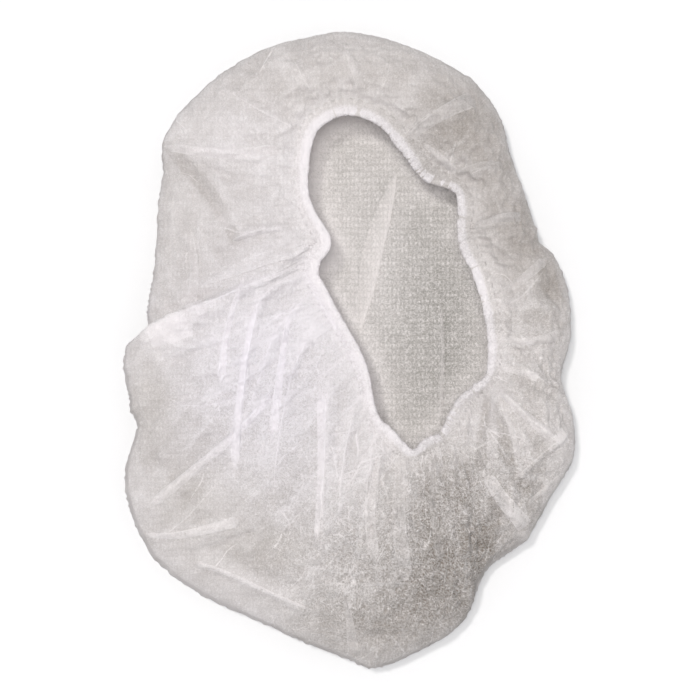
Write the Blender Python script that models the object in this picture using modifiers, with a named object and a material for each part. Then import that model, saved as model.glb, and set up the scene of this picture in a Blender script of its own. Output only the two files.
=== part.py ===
"""A disposable bouffant cap of thin nonwoven cloth, lying on its crown with the gathered opening up.

The cap is one round sheet whose edge is folded over an elastic strip. Three pieces make it: the crown, which is
the sheet itself, the hem, which is the folded edge, and the elastic inside the hem. Units are metres and +Z is up.
The origin is the middle of the space that the cap fills, on the floor. Seen from above, +Y runs along the cap.
"""

import math

import bmesh
import bpy
from mathutils import Vector

# Overall sizes
CAP_LENGTH = 0.3175
CAP_WIDTH = 0.226
EDGE_HEIGHT = 0.025
RIM_HEIGHT = 0.047
CREST_RISE = 0.0055

# Gathered opening, measured along the middle of its hem
OPENING_LENGTH = 0.1705
OPENING_WIDTH = 0.094
OPENING_ASIDE = 0.0235
OPENING_AHEAD = 0.0345
RIM_SLOPE = math.radians(-14)

# Cloth and elastic
CROWN_WALL = 0.0012
HEM_WALL = 0.0010
ELASTIC_WIDTH = 0.0016
ELASTIC_THICKNESS = 0.0007
CLEARANCE = 0.0003
SEAM_MARGIN = 0.0035

# Gathers and folds
PLEAT_DEPTH = 0.0016
RIM_WAVE = 0.0024
FOLD_RISE = 0.0050

# The crown's flat bearing on the floor ends at this share of the way to the outline
CROWN_CENTRE_BACK = 0.0225
BASE_SHARE = 0.82

# Pressed fold in the floor of the crown, three plies of cloth thick
PRESSED_LENGTH = 0.084
PRESSED_WIDTH = 0.017
PRESSED_TIP_WIDTH = 0.003
PRESSED_ASIDE = 0.0125
PRESSED_AHEAD = 0.0500
PRESSED_TURN = math.radians(-11)
PRESSED_PLIES = 2

# Mesh fineness, and how near two points are when they count as one
WELD = 0.00001
COLUMNS_PER_SECTION = 4
HEM_OUTER_POINTS = 5
HEM_INNER_POINTS = 4

# One section for each gather, anticlockwise seen from above, from the head of the cap. edge_x and edge_y are the
# outline as shares of half the cap's width and length. rim_x and rim_y are the opening as shares of its own half
# width and length. pleat is the section's gather as a share of PLEAT_DEPTH, and wave its rise of RIM_WAVE.
SECTION_COLUMNS = ("edge_x", "edge_y", "rim_x", "rim_y", "pleat", "wave")
SECTIONS = (
    (0.00, 1.00, -0.46, 1.00, 0.8, 0.3),
    (-0.17, 0.985, -0.69, 0.985, 0.6, 0.4),
    (-0.40, 0.94, -0.89, 0.91, 0.9, 0.2),
    (-0.645, 0.825, -0.97, 0.80, 0.7, -0.2),
    (-0.825, 0.66, -1.00, 0.65, 1.0, -0.5),
    (-0.845, 0.46, -0.99, 0.49, 0.6, -0.3),
    (-0.865, 0.27, -0.91, 0.37, 0.8, 0.2),
    (-0.895, 0.13, -0.78, 0.22, 0.4, 0.6),
    (-0.90, 0.065, -0.87, 0.12, 0.7, 0.5),
    (-1.00, 0.00, -0.90, 0.03, 0.9, 0.2),
    (-0.985, -0.12, -0.81, -0.07, 0.6, -0.1),
    (-0.94, -0.235, -0.70, -0.17, 0.9, -0.4),
    (-0.995, -0.385, -0.58, -0.28, 0.8, -0.6),
    (-0.96, -0.53, -0.46, -0.39, 0.6, -0.5),
    (-0.85, -0.665, -0.36, -0.53, 1.0, -0.2),
    (-0.67, -0.765, -0.29, -0.68, 0.8, 0.1),
    (-0.43, -0.845, -0.23, -0.81, 0.7, 0.2),
    (-0.20, -0.92, -0.10, -0.90, 0.9, 0.5),
    (-0.02, -0.97, 0.02, -0.96, 0.8, 0.8),
    (0.12, -1.00, 0.16, -1.00, 1.0, 0.9),
    (0.35, -0.93, 0.32, -0.955, 0.7, 0.4),
    (0.51, -0.845, 0.47, -0.90, 0.9, 0.0),
    (0.60, -0.70, 0.59, -0.80, 0.8, -0.2),
    (0.77, -0.60, 0.68, -0.70, 1.0, 0.2),
    (0.88, -0.475, 0.80, -0.63, 0.9, 0.7),
    (0.985, -0.34, 0.95, -0.55, 1.0, 1.0),
    (0.985, -0.215, 1.00, -0.41, 0.8, 0.5),
    (0.935, -0.085, 1.00, -0.27, 0.6, -0.1),
    (0.975, 0.04, 0.95, -0.13, 0.8, -0.4),
    (0.96, 0.20, 0.86, 0.05, 0.7, -0.5),
    (0.885, 0.315, 0.74, 0.19, 1.0, -0.1),
    (0.81, 0.40, 0.67, 0.30, 0.8, 0.5),
    (0.755, 0.51, 0.71, 0.42, 0.7, 0.2),
    (0.70, 0.64, 0.62, 0.53, 0.9, -0.3),
    (0.655, 0.745, 0.32, 0.62, 0.8, -0.1),
    (0.52, 0.86, 0.13, 0.76, 0.6, 0.3),
    (0.24, 0.96, -0.16, 0.93, 0.9, 0.6),
)

# Rings of the crown between the floor and the widest line: the share of the way out from the base to the
# outline, and the share of EDGE_HEIGHT.
UNDER_COLUMNS = ("out", "height")
UNDER_RINGS = (
    (0.00, 0.00),
    (0.42, 0.07),
    (0.78, 0.32),
    (0.96, 0.66),
    (1.00, 1.00),
)

# Rings between the widest line and the rim: the share of the way in to the rim, the share of the climb from
# EDGE_HEIGHT to RIM_HEIGHT, the share of CREST_RISE and how much of the gathers reaches the ring.
OVER_COLUMNS = ("inward", "climb", "crest", "gather")
OVER_RINGS = (
    (0.05, 0.45, 0.00, 0.10),
    (0.16, 0.72, 0.25, 0.25),
    (0.32, 0.86, 0.70, 0.45),
    (0.50, 0.93, 1.00, 0.75),
    (0.68, 0.96, 1.00, 0.95),
    (0.85, 0.98, 0.80, 1.00),
)

# Main folds of the upper side: the section each starts from at the outline and the one it reaches at the rim,
# the shares of the way in where it begins and ends, its half width in sections and its share of FOLD_RISE.
FOLD_COLUMNS = ("from_section", "to_section", "begins", "ends", "half_width", "rise")
FOLDS = (
    (1.5, 0.5, 0.00, 0.90, 1.1, 0.55),
    (4.6, 4.4, -0.10, 0.85, 0.9, -0.60),
    (7.0, 7.2, 0.10, 0.95, 1.2, -0.50),
    (9.2, 8.6, -0.20, 1.00, 0.9, 1.00),
    (11.3, 10.8, -0.10, 0.90, 0.8, -0.90),
    (13.2, 12.6, 0.00, 0.95, 1.2, 0.70),
    (15.0, 14.4, -0.10, 0.75, 0.9, -0.70),
    (17.2, 16.0, 0.00, 1.00, 1.0, 0.80),
    (19.3, 18.8, -0.10, 1.00, 1.1, 0.65),
    (22.0, 21.6, -0.10, 0.90, 0.9, -0.80),
    (24.2, 24.8, 0.00, 1.00, 0.8, 0.95),
    (27.0, 26.8, -0.15, 0.80, 0.8, -0.75),
    (30.2, 30.4, -0.10, 0.95, 0.8, -0.85),
    (33.6, 33.0, 0.05, 1.00, 1.3, 0.50),
    (35.4, 34.9, 0.00, 1.00, 0.9, -0.55),
)

SHEET_COLOUR = (0.78, 0.77, 0.75, 1.0)
HEM_COLOUR = (0.90, 0.89, 0.89, 1.0)
ELASTIC_COLOUR = (0.93, 0.92, 0.89, 1.0)


def rows_of(columns, table):
    """The rows of a table as dictionaries, keyed by the names of its columns."""
    return [dict(zip(columns, row)) for row in table]


sections = rows_of(SECTION_COLUMNS, SECTIONS)
folds = rows_of(FOLD_COLUMNS, FOLDS)
column_count = len(sections) * COLUMNS_PER_SECTION

# The hem's bore holds the elastic, and its mouth holds the crown's edge
mouth_half = CROWN_WALL / 2 + CLEARANCE
hem_bore = max(math.hypot(ELASTIC_WIDTH, ELASTIC_THICKNESS) / 2, mouth_half) + CLEARANCE
hem_outside = hem_bore + HEM_WALL
crown_edge_inset = ELASTIC_THICKNESS / 2 + 2 * CLEARANCE + HEM_WALL / 2


def along_sections(value, place):
    """A value of the sections, as a smooth closed curve through them. place counts sections."""
    count = len(sections)
    first = math.floor(place)
    t = place - first
    a, b, c, d = (value(sections[(first + step) % count]) for step in (-1, 0, 1, 2))
    return b + ((c - a) + (2 * a - 5 * b + 4 * c - d + (3 * (b - c) + d - a) * t) * t) * (t / 2)


def smooth_step(t):
    """0 below 0, 1 above 1, and smooth between."""
    t = min(1.0, max(0.0, t))
    return t * t * (3 - 2 * t)


def edge_point(place):
    """The outline, in plan."""
    x = along_sections(lambda s: s["edge_x"], place) * CAP_WIDTH / 2
    y = along_sections(lambda s: s["edge_y"], place) * CAP_LENGTH / 2
    return Vector((x, y, 0))


def gather_height(place):
    """How far the gathers lift the cloth: one ridge at each section and a valley between each two."""
    ridge = math.cos(math.tau * place)
    return ridge * PLEAT_DEPTH * along_sections(lambda s: s["pleat"], place)


def rim_point(place):
    """The middle of the hem."""
    x = OPENING_ASIDE + along_sections(lambda s: s["rim_x"], place) * OPENING_WIDTH / 2
    y = OPENING_AHEAD + along_sections(lambda s: s["rim_y"], place) * OPENING_LENGTH / 2
    z = RIM_HEIGHT + along_sections(lambda s: s["wave"], place) * RIM_WAVE
    return Vector((x, y, z))


def rim_frame(place):
    """The hem's middle, the way along it, the way out of its mouth to the crown, and the way up from that."""
    step = 1 / COLUMNS_PER_SECTION
    along = (rim_point(place + step) - rim_point(place - step)).normalized()
    level = Vector((along.y, -along.x, 0)).normalized()
    mouth = level * math.cos(RIM_SLOPE) + Vector((0, 0, math.sin(RIM_SLOPE)))
    up = along.cross(mouth).normalized()
    if up.z < 0:
        up = -up
    mouth = (mouth - along * mouth.dot(along)).normalized()
    return rim_point(place), along, mouth, up


def fold_height(place, inward):
    """What the main folds add to the height of the upper side."""
    total = 0.0
    count = len(sections)
    for fold in folds:
        middle = fold["from_section"] + (fold["to_section"] - fold["from_section"]) * inward
        away = (place - middle + count / 2) % count - count / 2
        across = max(0.0, 1 - abs(away) / fold["half_width"])
        length = fold["ends"] - fold["begins"]
        travel = (inward - fold["begins"]) / length
        if 0 < travel < 1:
            total += fold["rise"] * smooth_step(across) * math.sin(math.pi * travel)
    return total * FOLD_RISE


def crown_rings():
    """Points of the middle of the crown's cloth, ring by ring from the flat base to the edge inside the hem."""
    rings = []
    centre = Vector((0, -CROWN_CENTRE_BACK, 0))
    places = [column / COLUMNS_PER_SECTION for column in range(column_count)]
    floor = Vector((0, 0, CROWN_WALL / 2))
    for ring in rows_of(UNDER_COLUMNS, UNDER_RINGS):
        share = BASE_SHARE + (1 - BASE_SHARE) * ring["out"]
        height = Vector((0, 0, ring["height"] * EDGE_HEIGHT))
        rings.append([centre + (edge_point(p) - centre) * share + floor + height for p in places])
    frames = [rim_frame(p) for p in places]
    seam_starts = [rim + mouth * (crown_edge_inset + SEAM_MARGIN) for rim, _, mouth, _ in frames]
    for ring in rows_of(OVER_COLUMNS, OVER_RINGS):
        points = []
        for place, start in zip(places, seam_starts):
            point = edge_point(place).lerp(start, ring["inward"])
            climb = (start.z - EDGE_HEIGHT) * ring["climb"] + CREST_RISE * ring["crest"]
            point.z = EDGE_HEIGHT + climb
            point.z += gather_height(place) * ring["gather"] + fold_height(place, ring["inward"])
            points.append(point)
        rings.append(points)
    rings.append(seam_starts)
    rings.append([rim + mouth * crown_edge_inset for rim, _, mouth, _ in frames])
    return rings


def material(name, colour, roughness):
    """A plain material with the piece's colour."""
    made = bpy.data.materials.new(name)
    made.use_nodes = True
    surface = made.node_tree.nodes["Principled BSDF"]
    surface.inputs["Base Color"].default_value = colour
    surface.inputs["Roughness"].default_value = roughness
    surface.inputs["Metallic"].default_value = 0.0
    return made


def add_object(name, mesh, collection, finish):
    """A named object for a mesh, in a collection."""
    made = bpy.data.objects.new(name, mesh)
    mesh.materials.append(finish)
    mesh.shade_smooth()
    mesh.set_sharp_from_angle(angle=math.radians(40))
    collection.objects.link(made)
    return made


def ring_mesh(name, rings, close_rings, cap_first):
    """A mesh through rings of points. close_rings joins the last ring to the first, and cap_first fills the first."""
    work = bmesh.new()
    made = [[work.verts.new(point) for point in ring] for ring in rings]
    pairs = list(zip(made, made[1:]))
    if close_rings:
        pairs.append((made[-1], made[0]))
    for inner, outer in pairs:
        count = len(inner)
        for i in range(count):
            work.faces.new((inner[i], inner[(i + 1) % count], outer[(i + 1) % count], outer[i]))
    if cap_first:
        work.faces.new(reversed(made[0]))
    bmesh.ops.recalc_face_normals(work, faces=work.faces)
    mesh = bpy.data.meshes.new(name)
    work.to_mesh(mesh)
    work.free()
    return mesh


def pressed_fold():
    """The wedge of extra plies that lies on the floor of the crown, as a curve made into a mesh."""
    half = PRESSED_LENGTH / 2
    corners = (
        (-PRESSED_TIP_WIDTH / 2, -half),
        (PRESSED_TIP_WIDTH / 2, -half),
        (PRESSED_WIDTH / 2, half * 0.55),
        (PRESSED_WIDTH * 0.45, half),
        (-PRESSED_WIDTH * 0.20, half),
        (-PRESSED_WIDTH / 2, half * 0.25),
    )
    outline = bpy.data.curves.new("pressed_fold", "CURVE")
    outline.dimensions = "2D"
    outline.fill_mode = "BOTH"
    rise = PRESSED_PLIES * CROWN_WALL
    sunk = CROWN_WALL / 2
    outline.extrude = (rise + sunk) / 2
    spline = outline.splines.new("POLY")
    spline.points.add(len(corners) - 1)
    for point, (x, y) in zip(spline.points, corners):
        point.co = (x, y, 0, 1)
    spline.use_cyclic_u = True
    guide = bpy.data.objects.new("pressed_fold_outline", outline)
    bpy.context.scene.collection.objects.link(guide)
    guide.location = (PRESSED_ASIDE, PRESSED_AHEAD, CROWN_WALL + (rise - sunk) / 2)
    guide.rotation_euler = (0, 0, PRESSED_TURN)
    bpy.context.view_layer.update()
    graph = bpy.context.evaluated_depsgraph_get()
    mesh = bpy.data.meshes.new_from_object(guide.evaluated_get(graph))
    work = bmesh.new()
    work.from_mesh(mesh)
    bmesh.ops.remove_doubles(work, verts=work.verts, dist=WELD)
    bmesh.ops.recalc_face_normals(work, faces=work.faces)
    work.to_mesh(mesh)
    work.free()
    made = bpy.data.objects.new("pressed_fold", mesh)
    made.matrix_world = guide.matrix_world
    bpy.data.objects.remove(guide)
    made.hide_render = True
    made.display_type = "WIRE"
    return made


def crown(collection, helpers):
    """The sheet: an open surface given its wall, with the pressed fold joined on."""
    mesh = ring_mesh("crown", crown_rings(), close_rings=False, cap_first=True)
    made = add_object("crown", mesh, collection, material("nonwoven_sheet", SHEET_COLOUR, 0.75))
    wall = made.modifiers.new("wall", "SOLIDIFY")
    wall.thickness = CROWN_WALL
    wall.offset = 0
    wall.use_even_offset = True
    fold = pressed_fold()
    helpers.objects.link(fold)
    join = made.modifiers.new("pressed_fold", "BOOLEAN")
    join.operation = "UNION"
    join.object = fold
    return made


def swept_ring(profile):
    """Rings of points of a profile carried round the rim. Its points are (towards the crown, up)."""
    frames = [rim_frame(column / COLUMNS_PER_SECTION) for column in range(column_count)]
    return [[rim + mouth * a + up * b for rim, _, mouth, up in frames] for a, b in profile]


def hem(collection):
    """The folded edge: a channel round the elastic, open towards the crown, whose edge it holds."""
    outer_lip = math.asin(mouth_half / hem_outside)
    inner_lip = math.asin(mouth_half / hem_bore)

    def arc(radius, lip, count):
        turn = (math.tau - 2 * lip) / (count - 1)
        return [
            (radius * math.cos(lip + turn * i), radius * math.sin(lip + turn * i)) for i in range(count)
        ]

    outside = arc(hem_outside, outer_lip, HEM_OUTER_POINTS)
    inside = arc(hem_bore, inner_lip, HEM_INNER_POINTS)
    mesh = ring_mesh("hem", swept_ring(outside + inside[::-1]), close_rings=True, cap_first=False)
    return add_object("hem", mesh, collection, material("folded_hem", HEM_COLOUR, 0.7))


def elastic(collection):
    """The flat elastic strip, standing on edge in the hem."""
    half_thickness = ELASTIC_THICKNESS / 2
    half_width = ELASTIC_WIDTH / 2
    corners = (
        (half_thickness, -half_width),
        (half_thickness, half_width),
        (-half_thickness, half_width),
        (-half_thickness, -half_width),
    )
    mesh = ring_mesh("elastic", swept_ring(corners), close_rings=True, cap_first=False)
    return add_object("elastic", mesh, collection, material("elastic_strip", ELASTIC_COLOUR, 0.6))


def main():
    for old in list(bpy.data.objects):
        bpy.data.objects.remove(old)
    parts = bpy.data.collections.new("bouffant_cap")
    helpers = bpy.data.collections.new("cutters")
    bpy.context.scene.collection.children.link(parts)
    bpy.context.scene.collection.children.link(helpers)
    crown(parts, helpers)
    hem(parts)
    elastic(parts)


main()
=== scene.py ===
"""The looks of a disposable bouffant cap of thin white nonwoven, lying on its crown with the opening up.

Units are metres in the part's own frame: +Z up, +Y along the cap, and the origin on the floor in the middle.
A place round the cap is a section number, counted anticlockwise from its head. Tables in plan are in
millimetres from the origin.
"""

import math

import bpy
import numpy as np
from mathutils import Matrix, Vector, noise
from mathutils.bvhtree import BVHTree
from mathutils.kdtree import KDTree


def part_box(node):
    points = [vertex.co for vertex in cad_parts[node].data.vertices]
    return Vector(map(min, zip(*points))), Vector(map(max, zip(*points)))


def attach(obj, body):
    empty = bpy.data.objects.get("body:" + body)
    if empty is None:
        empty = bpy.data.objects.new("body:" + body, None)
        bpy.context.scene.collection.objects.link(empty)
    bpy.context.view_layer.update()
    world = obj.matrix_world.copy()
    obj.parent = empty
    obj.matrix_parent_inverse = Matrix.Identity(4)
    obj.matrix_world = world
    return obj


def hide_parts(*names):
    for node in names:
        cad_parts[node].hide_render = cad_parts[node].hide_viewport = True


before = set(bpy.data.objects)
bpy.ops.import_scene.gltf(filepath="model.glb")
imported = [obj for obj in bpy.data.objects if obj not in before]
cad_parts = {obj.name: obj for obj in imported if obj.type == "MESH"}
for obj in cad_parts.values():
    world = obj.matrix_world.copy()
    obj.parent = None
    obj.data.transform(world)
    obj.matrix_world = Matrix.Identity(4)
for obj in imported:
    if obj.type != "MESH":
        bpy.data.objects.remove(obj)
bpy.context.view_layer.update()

crown_low, crown_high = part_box("crown")
hem_low, hem_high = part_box("hem")
MILLIMETRE = 0.001
TURN = 2 * math.pi

# Sizes of the solids, as the frame gives them or as they were built
HEM_RADIUS = 0.0022
CROWN_WALL = 0.0012
cap_width = crown_high.x - crown_low.x - CROWN_WALL
cap_length = crown_high.y - crown_low.y - CROWN_WALL
opening_width = hem_high.x - hem_low.x - 2 * HEM_RADIUS
opening_length = hem_high.y - hem_low.y - 2 * HEM_RADIUS
opening_middle = (hem_low + hem_high) / 2
rim_height = 0.047
edge_height = 0.025
crest_rise = 0.0055
rim_wave = 0.0024
rim_slope = math.radians(-4)
crown_middle = np.array((0.0, -0.0225))

# The cloth
HEM_RISE = 0.0015
HEM_CLOTH = 0.00016
LIP_REACH = 0.0044
LIP_UNDER = 0.0002
PLY_STEP = 0.0012
PLY_RISE = 0.0003
UNDER_THE_TOP = 0.016
CLOTH_TONES = ("layers", "warmth", "glitter", "bare")
SEAM_INSET = 0.0014
SEAM_MARGIN = 0.0035
FLOOR_GAP = 0.0002

# The lamps, with degrees from straight above, round from +X and of softness
SIDE_LIGHT_TILT = 12
SIDE_LIGHT_TURN = 132
LAMP_COLUMNS = ("name", "tilt", "turn", "strength", "softness")
LAMPS = (
    ("key_light", 2, 138, 2.15, 12),
    ("side_light", SIDE_LIGHT_TILT, SIDE_LIGHT_TURN, 1.35, 4),
)
LAMP_COLOUR = (1.0, 0.985, 0.965)
SKY_COLOUR = (0.93, 0.95, 1.0, 1.0)
SKY_STRENGTH = 0.70
FLOOR_COLOUR = (0.600, 0.600, 0.602, 1.0)
CAMERA_HEIGHT = 2.0
FIELD = 0.350

# Mesh fineness, the numbers of small folds, and half a fine line's width in millimetres
COLUMNS_PER_SECTION = 18
CROWN_ROWS = 142
HEM_COLUMNS_PER_SECTION = 48
GATHERS_PER_SECTION = 3
HEM_GATHERS_PER_SECTION = 7
CREASE_COUNT = 150
FLOOR_CREASE_COUNT = 60
GATHER_COUNT = 110
HAIR_COUNT = 280
LINE_HALF_WIDTH = 0.38

# Each section: the outline and the hem's middle as shares of half the cap and half the opening, the hem's
# rise and fall, millimetres that its ridge lies inward of the elastic, half its width in millimetres, and
# its whiteness, which is partly painted shade: lower along the right side, away from the light
SECTION_COLUMNS = ("edge_x", "edge_y", "rim_x", "rim_y", "wave", "inward", "half_width", "white")
SECTIONS = (
    (0.00, 1.00, -0.46, 1.00, 0.3, 1.8, 2.7, 0.98),
    (-0.17, 0.985, -0.69, 0.985, 0.4, 1.8, 2.9, 0.98),
    (-0.40, 0.94, -0.89, 0.91, 0.2, 1.8, 2.7, 1.15),
    (-0.645, 0.825, -0.97, 0.80, -0.2, 1.0, 2.8, 1.20),
    (-0.825, 0.66, -1.00, 0.65, -0.5, 0.6, 2.7, 1.18),
    (-0.845, 0.46, -0.99, 0.49, -0.3, 0.8, 2.2, 1.10),
    (-0.865, 0.27, -0.91, 0.37, 0.2, 1.2, 2.0, 1.20),
    (-0.895, 0.13, -0.78, 0.22, 0.6, 1.8, 2.2, 1.20),
    (-0.90, 0.065, -0.87, 0.12, 0.5, 1.2, 2.3, 1.18),
    (-1.00, 0.00, -0.90, 0.03, 0.2, 1.0, 2.5, 1.16),
    (-0.985, -0.12, -0.81, -0.07, -0.1, 1.5, 2.0, 1.12),
    (-0.94, -0.235, -0.70, -0.17, -0.4, 0.6, 2.2, 1.08),
    (-0.995, -0.385, -0.58, -0.28, -0.6, 0.4, 2.2, 1.04),
    (-0.96, -0.53, -0.46, -0.39, -0.5, 0.2, 2.2, 1.06),
    (-0.85, -0.665, -0.36, -0.53, -0.2, 0.7, 1.9, 1.04),
    (-0.67, -0.765, -0.29, -0.68, 0.1, -0.5, 2.2, 1.04),
    (-0.43, -0.845, -0.23, -0.81, 0.2, 0.2, 2.3, 1.00),
    (-0.20, -0.92, -0.10, -0.90, 0.5, 1.6, 2.2, 1.02),
    (-0.02, -0.97, 0.02, -0.96, 0.8, 0.8, 2.1, 1.00),
    (0.12, -1.00, 0.16, -1.00, 0.9, -0.3, 2.0, 1.02),
    (0.35, -0.93, 0.32, -0.955, 0.4, 1.2, 2.2, 0.95),
    (0.51, -0.845, 0.47, -0.90, 0.0, 0.0, 2.2, 0.82),
    (0.60, -0.70, 0.59, -0.80, -0.2, 1.6, 1.9, 0.88),
    (0.77, -0.60, 0.68, -0.70, 0.2, 1.0, 1.7, 0.68),
    (0.88, -0.475, 0.80, -0.63, 0.7, -0.8, 2.2, 0.68),
    (0.985, -0.34, 0.95, -0.55, 1.0, -0.4, 2.0, 0.74),
    (0.985, -0.215, 1.00, -0.41, 0.5, 0.3, 2.3, 1.00),
    (0.935, -0.085, 1.00, -0.27, -0.1, 1.2, 2.2, 0.88),
    (0.975, 0.04, 0.95, -0.13, -0.4, 1.0, 2.4, 1.04),
    (0.96, 0.20, 0.86, 0.05, -0.5, 1.3, 2.6, 1.10),
    (0.885, 0.315, 0.74, 0.19, -0.1, 1.8, 2.3, 0.78),
    (0.81, 0.40, 0.67, 0.30, 0.5, -0.2, 2.5, 0.74),
    (0.755, 0.51, 0.71, 0.42, 0.2, 1.7, 2.2, 0.84),
    (0.70, 0.64, 0.62, 0.53, -0.3, 0.0, 2.4, 0.72),
    (0.655, 0.745, 0.32, 0.62, -0.1, 1.8, 2.6, 0.78),
    (0.52, 0.86, 0.13, 0.76, 0.3, 1.8, 2.8, 0.84),
    (0.24, 0.96, -0.16, 0.93, 0.6, 1.4, 2.4, 0.86),
)

# Corners and notches of the outline: place and reach in sections, and millimetres outward
PULL_COLUMNS = ("place", "reach", "out")
OUTLINE_PULLS = (
    (4.45, 0.45, -2.8),
    (9.15, 0.35, -1.2),
    (10.6, 0.38, 2.4),
    (13.9, 0.25, 0.8),
    (23.1, 0.30, 0.7),
    (30.35, 0.42, -3.0),
    (31.6, 0.80, 1.2),
)

# Rings from the middle of the crown to the outline: share of the way out, share of edge_height
UNDER_COLUMNS = ("out", "height")
UNDER_RINGS = (
    (0.02, 0.00),
    (0.25, 0.00),
    (0.50, 0.00),
    (0.72, 0.00),
    (0.82, 0.00),
    (0.895, 0.07),
    (0.96, 0.32),
    (0.992, 0.66),
    (1.00, 1.00),
)

# Rings from the outline to the hem: share of the way in, share of the climb and share of crest_rise
OVER_COLUMNS = ("inward", "climb", "crest")
OVER_RINGS = (
    (0.045, 0.45, 0.00),
    (0.16, 0.72, 0.25),
    (0.32, 0.86, 0.70),
    (0.50, 0.93, 1.00),
    (0.68, 0.96, 1.00),
    (0.85, 0.98, 0.50),
    (1.00, 1.00, 0.00),
)

# Folds and creases of the upper side that the eye picks out, in plan. half_width and rise are in
# millimetres, lean is 0 for an even ridge and 1 or -1 for a tuck that is steep to the left or right of
# its path, and white is how much the doubled cloth along it pales.
CREASE_COLUMNS = ("path", "half_width", "rise", "lean", "white")
CREASES = (
    (((-82, 90), (-68, 74), (-58, 55)), 6.0, -2.4, 0.4, 0.1),
    (((-58, 54), (-46, 59), (-30, 61)), 4.0, 1.8, 0.2, 0.7),
    (((-97, 99), (-82, 101), (-60, 97), (-38, 98)), 5.0, 2.2, 0.5, 0.4),
    (((-96, 92), (-76, 88), (-50, 84)), 6.0, -1.6, 0.0, 0.0),
    (((-112, 2), (-82, 17), (-55, 30), (-22, 43)), 7.0, 4.2, 0.8, 0.9),
    (((-100, -4), (-82, -6), (-68, 4)), 5.0, -1.8, -0.4, 0.0),
    (((-91, -27), (-70, -27), (-50, -22)), 5.0, 2.4, 0.8, 0.5),
    (((-103, -80), (-80, -62), (-55, -40), (-30, -8)), 6.0, 2.8, 0.5, 0.7),
    (((-100, -97), (-82, -84), (-65, -65)), 5.0, 2.2, 0.3, 0.6),
    (((-85, -92), (-70, -88), (-55, -86)), 5.0, 1.6, 0.0, 0.9),
    (((-89, -102), (-68, -98), (-44, -88)), 4.0, -2.2, 0.6, 0.0),
    (((-80, -105), (-62, -110), (-42, -119), (-15, -130)), 4.5, 2.4, -0.6, 0.8),
    (((-30, -119), (-15, -116), (25, -116)), 5.0, 1.6, 0.5, 0.4),
    (((-10, -8), (-12, -40), (-14, -95)), 5.0, 2.6, -0.3, 1.0),
    (((-24, 40), (-44, 25), (-50, 0), (-55, -35), (-57, -65)), 4.0, 2.2, 0.5, 0.9),
    (((-18, 30), (-36, 10), (-44, -12), (-52, -35)), 3.5, 1.8, -0.4, 0.7),
    (((-14, 18), (-28, -10), (-36, -50), (-38, -80)), 4.0, 1.8, 0.4, 0.6),
    (((-38, -81), (-31, -79), (-25, -81)), 3.0, 1.4, 0.2, 0.5),
    (((2, -28), (-4, -60), (-6, -92)), 4.0, 1.8, 0.5, 0.5),
    (((12, -42), (8, -70), (4, -105), (0, -120), (2, -150)), 4.5, 2.2, -0.4, 0.5),
    (((28, -50), (28, -80), (32, -112)), 4.0, 1.8, 0.3, 0.4),
    (((40, -46), (44, -72), (50, -100)), 4.0, 1.8, -0.3, 0.3),
    (((50, -40), (56, -58), (60, -75)), 3.0, 1.8, 0.5, 0.5),
    (((67, -65), (78, -78), (90, -90)), 4.0, 2.4, 0.5, 0.9),
    (((77, -68), (85, -60), (105, -43), (113, -39)), 4.0, 2.4, -0.5, 0.8),
    (((72, -17), (90, -35), (105, -48)), 4.0, 2.6, 0.4, 0.8),
    (((70, -20), (66, -34), (65, -48)), 4.0, -2.4, 0.0, 0.0),
    (((72, -20), (78, -36), (83, -50)), 3.0, 1.8, 0.3, 0.8),
    (((61, -125), (66, -112), (78, -98), (90, -92)), 5.0, -2.2, 0.5, 0.2),
    (((97, 33), (102, 24), (108, 14)), 5.0, -2.4, 0.4, 0.1),
    (((70, 20), (84, 26), (98, 42)), 4.5, 2.0, 0.5, 0.6),
    (((72, 4), (88, 4), (106, 8)), 4.0, 1.8, -0.4, 0.5),
    (((60, 62), (74, 66), (86, 66)), 4.0, 1.8, 0.4, 0.3),
    (((25, 105), (40, 117), (60, 125)), 6.0, 2.4, 0.5, 0.7),
    (((37, 100), (45, 94), (53, 87)), 4.0, 1.8, -0.4, 0.7),
    (((58, 86), (68, 90), (78, 88)), 4.0, 1.6, 0.3, 0.4),
    (((-3, 150), (0, 140), (5, 124)), 4.0, 1.6, 0.0, 0.2),
    (((-28, 144), (-22, 132), (-14, 122)), 4.0, 1.8, 0.4, 0.3),
    (((-60, 128), (-44, 118), (-24, 108)), 5.0, 2.0, 0.4, 0.5),
    (((20, 144), (18, 134), (12, 122)), 4.0, 1.4, -0.3, 0.2),
)

# Patches that are whiter or greyer, in plan and millimetres: partly cloth that lies in fewer or more layers,
# partly painted light on the left and painted shade on the right and towards the foot, away from the light.
# Each gives the change in whiteness, and warmth leans the tint from bluish (below 0) to beige (above 0).
PATCH_COLUMNS = ("x", "y", "reach_x", "reach_y", "layers", "warmth")
PATCHES = (
    (-45, -10, 48, 62, 0.48, -0.7),
    (-50, 115, 32, 26, 0.20, -0.2),
    (-72, 70, 20, 40, 0.15, -0.1),
    (-90, 6, 11, 11, 0.30, 0.1),
    (-100, -28, 12, 20, -0.28, 0.4),
    (-82, -72, 13, 13, -0.20, 0.3),
    (-65, -80, 26, 26, -0.14, 0.2),
    (-40, -98, 20, 10, -0.25, 0.3),
    (47, 108, 24, 22, -0.50, 0.8),
    (62, 118, 16, 20, -0.32, 0.7),
    (75, 85, 17, 26, -0.42, 0.8),
    (25, 137, 22, 12, -0.25, 0.6),
    (88, 58, 16, 20, -0.48, 1.0),
    (99, 32, 10, 16, -0.30, 0.9),
    (98, -26, 16, 14, -0.08, 0.7),
    (84, -72, 16, 18, -0.16, 0.8),
    (52, -110, 38, 34, -0.90, 1.0),
    (45, -70, 20, 18, -0.24, 0.9),
    (12, -136, 30, 16, -0.48, 0.8),
    (96, 6, 12, 16, -0.10, 0.7),
    (80, 40, 18, 24, -0.22, 0.7),
    (-80, 60, 26, 44, -0.20, 0.2),
    (-30, 128, 50, 24, -0.14, 0.2),
    (0, -78, 24, 36, 0.10, 0.0),
)
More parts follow.
